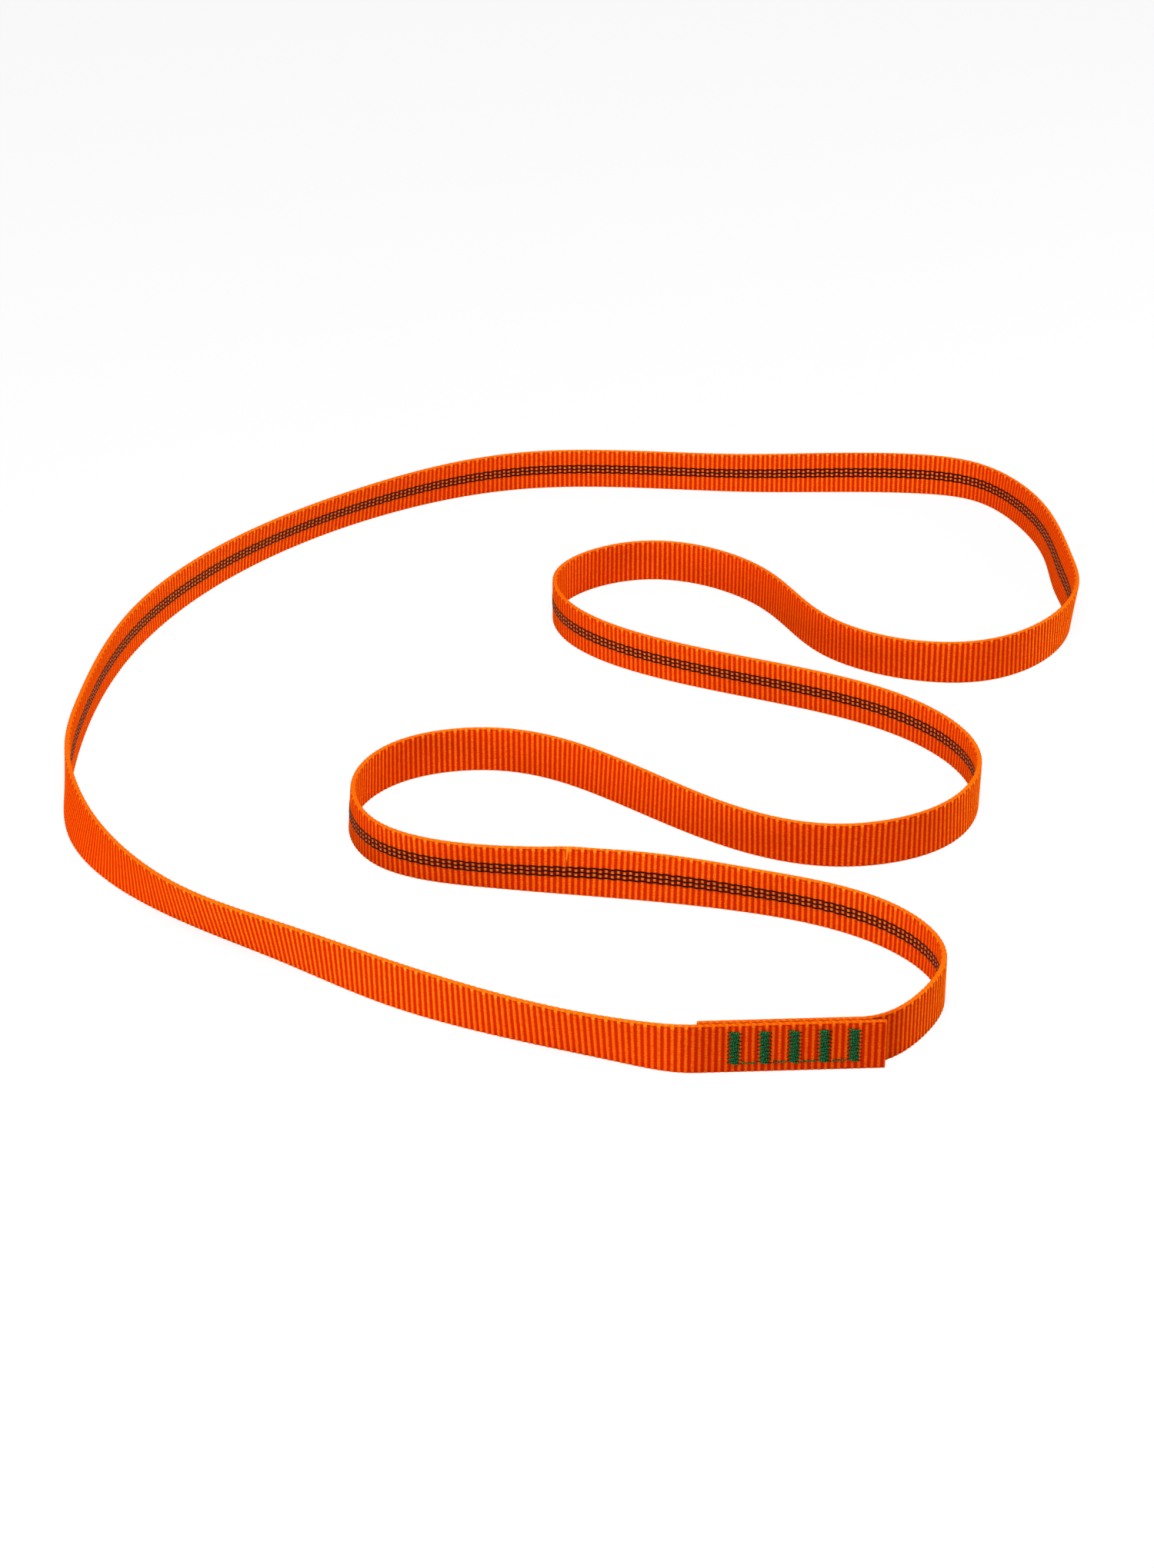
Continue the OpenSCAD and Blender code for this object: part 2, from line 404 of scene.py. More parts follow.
def paint(cloth, *layers):
    """Colours laid over cloth in turn. A layer is the share that it covers, and its colour."""
    unused = [None] * 5   # the sockets that mix numbers and vectors instead
    for share, colour in layers:
        cloth = add(share.tree, "ShaderNodeMix", share, *unused, cloth, colour,
                    data_type="RGBA")[2]
    return cloth


def new_material(name):
    material = bpy.data.materials.new(name)
    material.use_nodes = True
    return material, material.node_tree


def dress(tree, sockets):
    """Sets sockets of the Principled shader, which is already the surface, and returns it."""
    principled = tree.nodes["Principled BSDF"]
    for key, value in sockets.items():
        put(tree, principled.inputs[key], value)
    return Given(principled)


def finish(tree, surface):
    """Makes this shader the material's surface."""
    put(tree, tree.nodes["Material Output"].inputs["Surface"], surface)


# ================ the materials
# Patterns are drawn in the strip's own measures: ribs along it, and millimetres up it. The web's
# noise changes as often in 1 mm of height as its scale says. A real fibre is some 0.03 mm thick,
# too fine to show, so the fibres are drawn a few times as coarse.
SWAY = 0.34               # ribs that a crest sways by, at most
SWAY_SCALE = 2.1          # it sways the other way after about 0.5 mm of height
STRAY_END = 0.35          # warp yarns that a rib's row of ends is off by, at most
SPECK_SCALE = 1.7         # ends catch light in patches 0.6 mm high, which is about one yarn
FIBRE_SCALE = 9.0         # fibres 0.11 mm high
RELIEF = 0.14 * MM        # height of the yarn ends and fibres in the bump
TRACED = 2.05, 1.85       # mm from the middle, where the traced stripe of the inner face ends
LAP_LEFT = 76.0, 60.0     # mm from the front cut end, where the pull on the lap's cloth and its painted shade fade
LAP_RIGHT = -12.0, -2.0
TIE_SLANT = 0.75          # ribs that a tie moves on by, from the web's middle to a face
TIE_TOP = 0.38, 0.5       # mm from the upper edge, where the row of ties begins
TIE_FOOT = 0.98, 0.84     # and where it ends
HOOK_FOOT = 1.5, 0.9      # mm from the upper edge, where the hooks' painted highlight fades out
LOOP_SLANT = 0.42         # ribs that the crease between two loops moves on by
EDGE_REACH = 0.4, 0.25    # mm from either edge, where the looped yarn gives way to the face
LIP_REACH = 0.7, 0.25     # mm from a cut end, where the melted lip fades out
HOLE_RADIUS = 0.42, 0.22  # mm from a needle hole's middle, where its painted shade fades
HOLE_PAST = 0.1           # mm from a tack's edge out to its holes
HOLE_SQUASH = 0.75        # a hole's height for its width
HOLE_ROW_SOFT = 0.2       # mm over which the rows of holes begin and end
TRACER_FIBRE_SCALE = 3.0  # redder fibres 0.76 mm long, a third of a rib
TRACER_RELIEF = 0.08 * MM
PLY_LAY = 0.85            # mm of sewing thread from one ply to the next
THREAD_FIBRE_SCALE = 3.4  # glints 0.3 mm long on a ply
THREAD_RELIEF = 0.10 * MM


def ribbed_nylon(web):
    """Ribbed nylon web, woven on a needle loom and dyed orange.

    It gives the eye crests with a broken golden shine and a painted highlight on a row of warp
    yarns' ends on each, valleys painted deep red as shade, a yellower selvedge with a pair of dark
    ties for every two ribs, and duller cloth between the tracer yarns."""
    material, tree = new_material("ribbed_nylon_web")
    weave, lap, way = (add(tree, "ShaderNodeAttribute", attribute_name=name)["Vector"]
                       for name in ("weave", "lap", "way"))
    rib, height, side = add(tree, "ShaderNodeSeparateXYZ", weave)
    lap_x, end_gap, crease_fold_and_highlight = add(tree, "ShaderNodeSeparateXYZ", lap)
    tall = web.width / MM

    # Crests and valleys, with the valleys darker as painted shade, each crest with its row of yarn
    # ends, half a step on from rib to rib, and a painted highlight on the ends in patches. The
    # yarns sway a little to both sides, so that no rib is quite straight, and a painted shade
    # darkens it where one dives beside the crest.
    sway = add(tree, "ShaderNodeTexNoise", weave, None, SWAY_SCALE, 2.0) - 0.5
    crown = wave(sway * SWAY + rib)
    crest = ramp(crown, 0.1, 1.1)
    stray = add(tree, "ShaderNodeTexWhiteNoise", None, round(rib), noise_dimensions="1D")
    half_step = stray * STRAY_END + round(rib) * 0.5
    yarn_end = wave(height * (MM / web.warp_pitch) + half_step)
    speck = add(tree, "ShaderNodeTexNoise", weave, None, SPECK_SCALE, 2.0)
    lit_end = ramp(yarn_end, 0.35, 0.9) * ramp(speck, 0.35, 0.6)
    dive_shade = ramp(yarn_end, 0.5, 0.05) * ramp(crown, 0.95, 0.5)
    cloth = paint(web.valley,
                  (yarn_end * 0.25, "#D43402"),
                  (crest, paint(web.crest, (lit_end * 0.55, "#FF7410"))),
                  (dive_shade * 0.5, "#A01400"))

    # The inner face between the tracer yarns: their floats darken the valleys, and the crests
    # between two yarns are pinkish, with a painted highlight next to the yarns
    from_middle = abs(height - tall / 2)
    inside = ramp(from_middle, *TRACED) * ramp(side, -0.5, -0.8)
    highlight_beside_yarn = ramp(wave((height - tall / 2) * (MM / TRACER_PITCH)), 0.1, 0.55)
    pinkish = paint("#DC5418", (highlight_beside_yarn, "#F88A4C"))
    cloth = paint(cloth, (inside, paint("#7C0E02", (ramp(wave(rib), 0.3, 0.95), pinkish))))

    # The tacks pull the lapped plies flat. There the painted highlights of the hooks at the edge
    # are fainter, its loops are drawn tighter, so that the painted shade in the creases between
    # them is deeper, the crests shine less, and a painted shade darkens the cloth.
    flat = ramp(lap_x, *LAP_LEFT) * ramp(lap_x, *LAP_RIGHT)

    # Next to the upper edge each second rib ends in a hook with a painted highlight. Between two
    # hooks lie two dark ties, a little further on over the inner face than over the outer one. The
    # ping-pong nodes give how many ribs away the nearest hook, pair of ties or loop is.
    from_top = tall - height
    from_hook = add(tree, "ShaderNodeMath", rib, 1.0, operation="PINGPONG")
    hook_highlight = ramp(from_hook, 0.34, 0.16) * ramp(from_top, *HOOK_FOOT)
    from_pair = add(tree, "ShaderNodeMath", side * TIE_SLANT + rib, 1.0, operation="PINGPONG")
    tie = ramp(from_pair, 0.52, 0.40) * ramp(from_pair, 0.05, 0.16)
    tie = tie * ramp(from_top, *TIE_TOP) * ramp(from_top, *TIE_FOOT)
    cloth = paint(cloth, (hook_highlight * (flat * -0.4 + 0.8), "#FF8A1C"), (tie, "#B01800"))

    # The edge itself: looped yarn, with a faint painted shade in the crease between two loops
    from_loop = add(tree, "ShaderNodeMath", side * LOOP_SLANT + rib, 0.5, operation="PINGPONG")
    crease = ramp(from_loop, 0.3, 0.48)
    loops = paint(web.selvedge, (crease * (flat * 0.5 + 0.4), "#D04000"))

    # Over it all, a painted shade that darkens the lap, painted shade in the needle holes beside
    # the bar tacks, the melted lip of a cut end and a painted highlight on the fold of the small
    # crease
    cloth = paint(cloth,
                  (ramp(tall / 2 - from_middle, *EDGE_REACH), loops),
                  (flat * 0.26, "#8A0000"),
                  (needle_hole_shade(lap_x, height, tall) * 0.9, "#3A1000"),
                  (ramp(end_gap, *LIP_REACH) * 0.7, "#E45A10"),
                  (ramp(crease_fold_and_highlight, 0.35, 0.75) * 0.7, "#FF9A24"))

    fibre = add(tree, "ShaderNodeTexNoise", weave, None, FIBRE_SCALE, 3.0)
    relief = fibre * 0.5 + yarn_end * (crest * 0.7 + 0.3) * 0.7 - tie * 0.1
    bump = add(tree, "ShaderNodeBump", 0.8, RELIEF, None, relief)
    dyed = dress(tree, {
        "Base Color": cloth, "Normal": bump, "Roughness": 0.5, "Specular IOR Level": 0.0,
        "Sheen Weight": 0.10, "Sheen Roughness": 0.45, "Sheen Tint": "#FF9A10"})

    # The crests' fibres throw light back golden, in a narrow broken streak down each rib. They lie
    # along the web, so their shine is narrow along it and wide across it.
    streak = ramp(crown, 0.3, 1.0) * (lit_end * 0.6 + 0.4)
    shine = streak * (flat * (-0.4 * web.shine) + web.shine)
    golden = add(tree, "ShaderNodeBsdfGlossy", "#FFB828", 0.5, 0.6, None, bump, way)
    finish(tree, add(tree, "ShaderNodeMixShader", shine, dyed, golden))
    return material


def needle_hole_shade(lap_x, height, tall):
    """Painted shade in the needle holes: 1 in the holes on both sides of each bar tack, and 0
    elsewhere, all in millimetres.

    The distance from a tack's middle repeats with the tacks' pitch. The holes on one side lie half
    a step above those on the other, and a step is two strokes."""
    tree = lap_x.tree
    pitch, tack_h = TACK_PITCH / MM, TACK_H / MM
    start = TACK_INSET / MM - pitch / 2
    end = start + pitch * TACK_COUNT
    step = 2 * tack_h / TACK_STROKES
    foot = (tall - tack_h) / 2 + TACK_RISE / MM
    turn = add(tree, "ShaderNodeMath", (lap_x - start) / pitch, operation="FRACT")
    across = turn * pitch - pitch / 2
    far_side = add(tree, "ShaderNodeMath", across, 0.0, operation="GREATER_THAN")
    steps_up = (far_side * (-step / 2) + height - (foot - step / 2)) / step
    off_row = add(tree, "ShaderNodeMath", steps_up, operation="FRACT") * step - step / 2
    off_side = (abs(across) - (TACK_W / MM / 2 + HOLE_PAST)) * HOLE_SQUASH
    reach = add(tree, "ShaderNodeMath", off_row * off_row + off_side * off_side, operation="SQRT")
    top, soft = foot + tack_h, HOLE_ROW_SOFT
    in_lap = ramp(lap_x, start, start + soft) * ramp(lap_x, end, end - soft)
    in_tack = ramp(height, foot - 2 * soft, foot - soft) * ramp(height, top + 2 * soft, top + soft)
    return ramp(reach, *HOLE_RADIUS) * (in_lap * in_tack)


def tracer_yarn_nylon(tracer):
    """Solution-dyed nylon tracer yarn: near-black maroon and almost matt, so that it reads as a
    dark line, with a redder fibre here and there."""
    material, tree = new_material("tracer_yarn_nylon")
    weave = add(tree, "ShaderNodeAttribute", attribute_name="weave")["Vector"]
    fibre = add(tree, "ShaderNodeTexNoise", weave, None, TRACER_FIBRE_SCALE, 3.0)
    dress(tree, {
        "Base Color": paint(tracer.colour, (ramp(fibre, 0.5, 0.8), "#5A100A")),
        "Normal": add(tree, "ShaderNodeBump", 0.5, TRACER_RELIEF, None, fibre),
        "Roughness": 0.6, "Specular IOR Level": 0.18, "Specular Tint": "#FF9060"})
    return material


def bonded_thread(thread):
    """Bonded nylon sewing thread, three plies twisted: a painted highlight in a light line along
    each ply, and dark green between them, which is the thread's dye deepened by painted shade."""
    material, tree = new_material("bonded_nylon_thread")
    twist = add(tree, "ShaderNodeAttribute", attribute_name="twist")["Vector"]
    along, around, _ = add(tree, "ShaderNodeSeparateXYZ", twist)
    ply = wave(along * (1 / PLY_LAY) + around)
    fibre = add(tree, "ShaderNodeTexNoise", twist, None, THREAD_FIBRE_SCALE, 2.0)
    level = ramp(ply, 0.1, 0.9) * ramp(fibre, 0.3, 0.65)
    dress(tree, {
        "Base Color": paint(thread.dark, (level, thread.light)),
        "Normal": add(tree, "ShaderNodeBump", 0.9, THREAD_RELIEF, None, ply),
        "Roughness": 0.24, "Specular IOR Level": 0.36, "Specular Tint": "#A0FFC0"})
    return material


# ================ the web
FACE_POINTS = 7           # points up each face of the web
RING_POINTS = 2 * FACE_POINTS + 8
RIB_SAMPLES = 4           # rings per rib, so that one falls on its crest and one in its valley
RIB_SPREAD = 0.8, 1.12    # least and most depth of a valley, as a share of the rib depth
RIB_SEED = 7
CORNER = 0.62 * MM        # radius of the selvedge's corners
LOOP_DEPTH = 0.09 * MM    # depth of the notch between two loops of an edge
NOTCH_SLANT = 0.3         # ribs that a notch moves on by, from the web's middle to a face
TIE_DEPTH = 0.08 * MM     # depth of the dent at a pair of ties
TIE_WIDTH = 0.6           # ribs from the middle of that dent to its end
LIP = 0.5 * MM            # length of the rounded lip at a cut end
LIP_RINGS = np.array([0.0, 0.04, 0.10])   # ribs from a cut end to the rings that round it off
LIP_SLIM = 0.45           # thickness left at the very end, as a share
LIP_SHORT = 0.97          # width left there, as a share
OFF_LAP = -100 * MM       # stands for a place that is off the lap
LAP_PAST = 0.2            # length past the lap that still counts as on it, as a share of the lap
TACK_PULL = 0.20 * MM     # how far a bar tack pulls the web in
TACK_FLAT = 0.5           # share of the ribs' depth that goes under a bar tack
PULL_PAST = np.array([0.9, 1.2]) * MM   # how far the pull reaches past a tack, along and up
RUN_PULL = 0.8            # pull of the running stitches, as a share of a tack's
RUN_PULL_WIDTH = 1.2 * MM
CREASE_DEPTH = 0.7 * MM
CREASE_WIDTH = 0.6 * MM
CREASE_SLANT = 0.1        # how far it leans along the web for its height
CREASE_LIFT = 0.35 * MM   # of the upper edge over the crease
CREASE_REACH = 7 * MM     # length of web that lifts on each side
CREASE_PLACES = 20000     # places along the web that are tried for the crease
CORD_PLACES = 1200        # points of a path along the web's middle, which is worked out but not used


def web_section(width, thickness):
    """The web's outline: two flat faces and two edges with round corners.

    It gives each point's height, its depth outwards, and the way out of the web there, as a share
    up and a share outwards."""
    half = thickness / 2
    faces = np.linspace(CORNER, width - CORNER, FACE_POINTS)
    slant = math.sqrt(0.5)
    inset = CORNER * (1 - slant)
    edge_h = [width - inset, width, width, width - inset]
    edge_d = [half - inset, half - CORNER, CORNER - half, inset - half]
    height = np.concatenate([faces, edge_h, faces[::-1], [width - h for h in edge_h]])
    depth = np.concatenate([np.full(FACE_POINTS, half), edge_d,
                            np.full(FACE_POINTS, -half), [-d for d in edge_d]])
    way_h = np.concatenate([np.zeros(FACE_POINTS), [slant, 1, 1, slant],
                            np.zeros(FACE_POINTS), [-slant, -1, -1, -slant]])
    way_d = np.concatenate([np.ones(FACE_POINTS), [slant, 0, 0, -slant],
                            -np.ones(FACE_POINTS), [-slant, 0, 0, slant]])
    return height, depth, way_h, way_d


def lap_place(distance, route):
    """Distance along the lap from the front ply's cut end, on either ply."""
    rear = LAP_LENGTH - (route.length - distance)
    past = LAP_PAST * LAP_LENGTH
    return np.where(distance < LAP_LENGTH + past, distance, np.where(rear > -past, rear, OFF_LAP))


def sewn_in(lap_x, height, web):
    """How far the sewing pulls the web in: a soft-edged trough under each bar tack, and a shallower
    one all along the running stitches."""
    pull = np.zeros((len(lap_x), len(height)))
    middle = web.width / 2 + TACK_RISE
    up = np.abs(height - middle) / (TACK_H / 2 + PULL_PAST[1])
    for k in range(TACK_COUNT):
        off = np.abs(lap_x - TACK_INSET - k * TACK_PITCH) / (TACK_W / 2 + PULL_PAST[0])
        pull += np.clip(1 - off**4, 0, 1)[:, None] * np.clip(1 - up**6, 0, 1)
    run_at = (web.width - TACK_H) / 2 + TACK_RISE + RUN_RISE
    run = np.exp(-((height - run_at) / RUN_PULL_WIDTH) ** 2)
    sewn = (lap_x > TACK_INSET) & (lap_x < TACK_INSET + (TACK_COUNT - 1) * TACK_PITCH)
    return np.maximum(pull, RUN_PULL * sewn[:, None] * run)


def web_points(route, web, crease_at=None):
    """The strip: its section, carried along the route, and its small crease if it has a place.
    Each point of the section moves in along its own way.

    A face sinks between two crests, as 1 less a raised cosine. An edge sinks to a notch once for
    every two ribs, as 1 less the size of a cosine to a low power. Under a bar tack the ribs are
    flatter and the face lower. At a cut end the thickness falls off as a quarter of an ellipse. At
    the crease both faces of the upper half move inwards, as a bell curve along the web, and the
    upper edge lifts over it as a wider one."""
    ribs = int(round(route.length / web.rib_pitch))
    phase = np.concatenate([LIP_RINGS, np.linspace(0, ribs, ribs * RIB_SAMPLES + 1)[1:-1],
                            ribs - LIP_RINGS[::-1]])
    distance = phase * route.length / ribs
    foot, up, out = route.at(distance)
    height, depth, way_h, way_d = web_section(web.width, web.thickness)
    side = depth / (web.thickness / 2)
    noise = np.random.default_rng(RIB_SEED)
    strength = np.interp(phase, np.arange(ribs + 1), noise.uniform(*RIB_SPREAD, ribs + 1))
    valley = 1 - (0.5 + 0.5 * np.cos(2 * math.pi * phase)) ** 0.9
    end_gap = np.minimum(distance, route.length - distance)
    lap_x = lap_place(distance, route)
    pull = sewn_in(lap_x, height, web)
    sealed = np.clip(end_gap / (2 * LIP), 0, 1)
    sink = (strength * valley * sealed)[:, None] * np.abs(way_d) * web.rib_depth
    sink *= 1 - TACK_FLAT * pull
    notch = 1 - np.abs(np.cos(math.pi / 2 * (phase[:, None] + NOTCH_SLANT * side))) ** 0.7
    sink += notch * np.abs(way_h) * LOOP_DEPTH
    sink += pull * np.abs(way_d) * TACK_PULL
    by_tie = np.abs((phase[:, None] + TIE_SLANT * side + 1) % 2 - 1)
    beside_top = (height > web.width - 1.2 * CORNER) & (np.abs(way_d) == 1)
    sink += np.clip(1 - by_tie / TIE_WIDTH, 0, 1) * beside_top * TIE_DEPTH
    # The crease's bell curve folds the web in here, and the shader lays a painted highlight on the
    # fold from it
    crease_fold_and_highlight = np.zeros(sink.shape)
    if crease_at is not None:
        rise = height / web.width
        off = distance[:, None] - crease_at + CREASE_SLANT * (web.width - height)
        crease_fold_and_highlight = np.exp(-(off / CREASE_WIDTH) ** 2) * np.clip(rise * 2 - 1, 0, 1) ** 0.5
        sink += crease_fold_and_highlight * way_d * CREASE_DEPTH
        lift = np.exp(-((distance - crease_at) / CREASE_REACH) ** 2)[:, None] * rise ** 4
        sink -= lift * (way_h > 0.5) * CREASE_LIFT
    lip = np.sqrt(1 - np.clip(1 - end_gap / LIP, 0, 1) ** 2)
    slim = (LIP_SLIM + (1 - LIP_SLIM) * lip)[:, None]
    short = (LIP_SHORT + (1 - LIP_SHORT) * lip)[:, None]
    height_now = web.width / 2 + (height - sink * way_h - web.width / 2) * short
    depth_now = (depth - sink * way_d) * slim
    points = (foot[:, None] + up[:, None] * height_now[..., None]
              + out[:, None] * depth_now[..., None])
    shape = points.shape[:2]
    weave = carried(shape, phase[:, None], height / MM, side)
    lap = carried(shape, lap_x[:, None] / MM, end_gap[:, None] / MM, crease_fold_and_highlight)
    way = carried(shape, *np.cross(up, out).T[..., None])
    return points, {"weave": weave, "lap": lap, "way": way}


def find_crease(route, web):
    """Distance along the route at which the image point of the small crease meets the web."""
    points, _ = web_points(route, web)
    _, quads = tube_quads(*points.shape[:2])
    carrier = BVHTree.FromPolygons(points.reshape(-1, 3).tolist(), quads.reshape(-1, 4).tolist())
    place = np.array(on_surface(*POINTS["crease"], carrier))
    distance = np.linspace(0, route.length, CREASE_PLACES)
    foot = route.at(distance)[0]
    return float(distance[np.argmin(np.linalg.norm((foot - place)[:, :2], axis=1))])


TRACER_SIDES = 6
TRACER_PROUD = 0.02 * MM  # of a tracer yarn's middle over a crest


def build_tracers(route, web, tracer, material):
    """Three oval yarns that lie over the ribs of the inner face. Each sways up and down once for
    every two ribs, as the hyperbolic tangent of a cosine, which has long level stretches."""
    ribs = int(round(route.length / web.rib_pitch))
    phase = np.linspace(0.25, ribs - 0.25, ribs * RIB_SAMPLES)
    foot, up, out = route.at(phase * route.length / ribs)
    for name, step in (("upper", 1), ("middle", 0), ("lower", -1)):
        height = web.width / 2 + step * TRACER_PITCH
        height = height + tracer.sway * np.tanh(2 * np.cos(math.pi * phase + 0.5 * step))
        sink = 0.5 * web.rib_depth * (0.5 - 0.5 * np.cos(2 * math.pi * phase))
        depth = -(web.thickness / 2 + TRACER_PROUD - sink)
        path = foot + up * height[:, None] + out * depth[:, None]
        tube = round_tube(path, up, tracer.width, tracer.thickness, TRACER_SIDES)
        weave = carried(tube.shape[:2], phase[:, None], np.arange(TRACER_SIDES) / TRACER_SIDES,
                        step)
        piece = new_piece(f"tracer_yarn_{name}", [tube], material, {"weave": weave})
        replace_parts(piece, f"tracer_{name}")


# ================ the sewing
STROKE_POINTS = 9         # points along one stitch
THREAD_SIDES = 8
# The thread is drawn thin at its holes and swells between them, as shares of its diameter
THREAD_SWELL = 0.7 + 0.4 * np.sin(np.pi * np.linspace(0, 1, STROKE_POINTS, endpoint=False)) ** 0.7
DIVE = 0.7 * MM           # how far a stitch's ends go into the web
LAYER_APART = 7.0         # sets the layers apart in the pattern on the thread
# A bar tack's layers of zigzag, from the top one: strokes, share of the tack's width, and crown,
# which is the rise of the thread's middle over the web, in diameters
TACK_LAYERS = (
    (TACK_STROKES, 1.0, 0.62),
    (TACK_STROKES, 0.92, 0.30),
    (TACK_STROKES + 10, 0.72, 0.14),
)
TACK_STRAY = 0.12 * MM    # how far the needle strays from its place, at most
TACK_SEED = 20
RUN_CROWN = 0.0           # a running stitch lies half in the web
RUN_STRAY = 0.15 * MM
RUN_SEED = 40


def stitch_path(needle, face, way, crown, dip):
    """Thread from hole to hole: along each stitch it rises out of the web, lies over it, and dives.

    Its rise is the crown times the sine of the way across, raised to a low power, less the dip."""
    share = np.linspace(0, 1, STROKE_POINTS, endpoint=False)
    here, after = needle[:-1, None], needle[1:, None]
    flat = (here + (after - here) * share[None, :, None]).reshape(-1, 2)
    flat = np.vstack([flat, needle[-1]])
    rise = np.tile(np.sin(math.pi * share) ** 0.35, len(needle) - 1)
    rise = np.concatenate([rise, [0.0]])
    return flat[:, 0], face + way * (rise * (crown + dip) - dip), flat[:, 1]


def sew(route, name, needles, crowns, face, way, thread, material, replaced):
    """One piece of thread: a round tube for each row of needle places."""
    tubes, twists = [], []
    for layer, (needle, crown) in enumerate(zip(needles, crowns)):
        along, outward, height = stitch_path(needle, face, way, crown * thread.diameter, DIVE)
        path = splice_point(route, along, outward, height)
        swell = thread.diameter * np.tile(THREAD_SWELL, len(needle))[:len(path), None, None]
        across = np.broadcast_to(route.lap_out, path.shape)
        tube = round_tube(path, across, swell, swell, THREAD_SIDES)
        steps = np.linalg.norm(np.diff(path, axis=0), axis=1)
        gone = np.concatenate([[0], np.cumsum(steps)]) / MM
        twists.append(carried(tube.shape[:2], gone[:, None], np.arange(THREAD_SIDES) / THREAD_SIDES,
                              layer * LAYER_APART))
        tubes.append(tube)
    piece = new_piece(name, tubes, material, {"twist": np.vstack(twists)})
    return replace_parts(piece, replaced)


def tack_needles(web, k):
    """Needle places of one bar tack: a wide zigzag, and closer, narrower ones that fill it."""
    noise = np.random.default_rng(TACK_SEED + k)
    middle = TACK_INSET + k * TACK_PITCH
    foot = (web.width - TACK_H) / 2 + TACK_RISE
    layers = []
    for strokes, reach, _ in TACK_LAYERS:
        step = np.arange(strokes + 1)
        along = middle + np.where(step % 2 == 0, -1, 1) * TACK_W / 2 * reach
        height = foot + step * TACK_H / strokes
        stray = noise.uniform(-TACK_STRAY, TACK_STRAY, (strokes + 1, 2))
        layers.append(np.column_stack([along, height]) + stray)
    return layers


def run_needles(web, k):
    """Needle places of the running stitches from tack k to the next one."""
    noise = np.random.default_rng(RUN_SEED + k)
    start = TACK_INSET + k * TACK_PITCH + TACK_W / 2 + RUN_INSET
    span = TACK_PITCH - TACK_W - 2 * RUN_INSET
    step = np.arange(RUN_STITCHES + 1)
    height = (web.width - TACK_H) / 2 + TACK_RISE + RUN_RISE
    height = height + noise.uniform(-RUN_STRAY, RUN_STRAY, len(step))
    return [np.column_stack([start + step * span / RUN_STITCHES, height])]


# ================ the camera, stage and lamps
CLIP_END = 30.0    # m
FLOOR_REACH = 6.0  # m, from the middle of the floor to its sides
FLOOR_GLOW = 0.9   # share of the floor's look that is plain white, for the camera alone
# Each lamp's name, place and size in metres, and the property that holds its power. The ribs throw
# the light of the low lamp on the left back at the camera.
LAMPS = (
    ("top_lamp", (0.0, -0.4, 1.2), 0.8, "top_power"),
    ("left_lamp", (-1.15, -0.78, 0.15), 0.26, "left_power"),
    ("right_lamp", (1.15, 0.5, 0.35), 0.5, "right_power"),
)


def set_camera(route):
    """The photograph's camera: level, looking along +Y and down on the floor at AIM."""
    data = bpy.data.cameras.new("photo_camera")
    data.lens = LENS
    data.sensor_width = SENSOR
    data.sensor_fit = "AUTO"
    data.shift_x, data.shift_y = SHIFT_X, SHIFT_Y
    data.clip_end = CLIP_END
    camera = bpy.data.objects.new("photo_camera", data)
    aim = Vector((AIM[0], AIM[1], 0.0)) + Vector(route.shift)
    back = Vector((0.0, -math.cos(ELEVATION), math.sin(ELEVATION)))
    camera.location = aim + back * DISTANCE
    camera.rotation_euler = (math.pi / 2 - ELEVATION, 0.0, 0.0)
    bpy.context.scene.collection.objects.link(camera)
    bpy.context.scene.camera = camera
    bpy.context.view_layer.update()


def photo_xy(points):
    """Where points in the row frame show, in the photograph's frame of image points."""
    camera = bpy.context.scene.camera
    turned = np.array(camera.matrix_world.inverted())
    local = points @ turned[:3, :3].T + turned[:3, 3]
    scale = max(PHOTO_W, PHOTO_H) * LENS / SENSOR
    x = PHOTO_W / 2 - SHIFT_X * max(PHOTO_W, PHOTO_H) - local[:, 0] / local[:, 2] * scale
    y = PHOTO_H / 2 + SHIFT_Y * max(PHOTO_W, PHOTO_H) + local[:, 1] / local[:, 2] * scale
    return x, y


def on_surface(x, y, carrier):
    """Where the ray through an image point meets the carrier, or its place nearest the ray."""
    camera = bpy.context.scene.camera
    reach = max(PHOTO_W, PHOTO_H)
    ray = Vector((x - PHOTO_W / 2 + SHIFT_X * reach, PHOTO_H / 2 - y + SHIFT_Y * reach,
                  -reach * LENS / SENSOR))
    ray = (camera.matrix_world.to_3x3() @ ray).normalized()
    eye = camera.matrix_world.translation
    hit = carrier.ray_cast(eye, ray)[0]
    if hit is not None:
        return hit
    nearest = min((carrier.find_nearest(eye + ray * step) for step in RAY_STEPS),
                  key=lambda found: found[3])
    return nearest[0]


def lamp(name, place, size, power):
    """A round lamp that is turned to the origin."""
    data = bpy.data.lights.new(name, "AREA")
    data.shape = "DISK"
    data.size = size
    data.energy = power
    light = bpy.data.objects.new(name, data)
    light.location = place
    light.rotation_euler = (-Vector(place)).to_track_quat("-Z", "Y").to_euler()
    bpy.context.scene.collection.objects.link(light)


def white_floor(stage):
    """Matt white board. The camera sees it mostly lit from within, so that it stays near white
    and still keeps the sling's soft shadow."""
    material, tree = new_material("matt_white_board")
    board = dress(tree, {
        "Base Color": stage.floor, "Roughness": 0.9, "Specular IOR Level": 0.1})
    seen = add(tree, "ShaderNodeLightPath")["Is Camera Ray"]
    glow = add(tree, "ShaderNodeEmission", None, 1.0)
    finish(tree, add(tree, "ShaderNodeMixShader", seen * FLOOR_GLOW, board, glow))
    return material


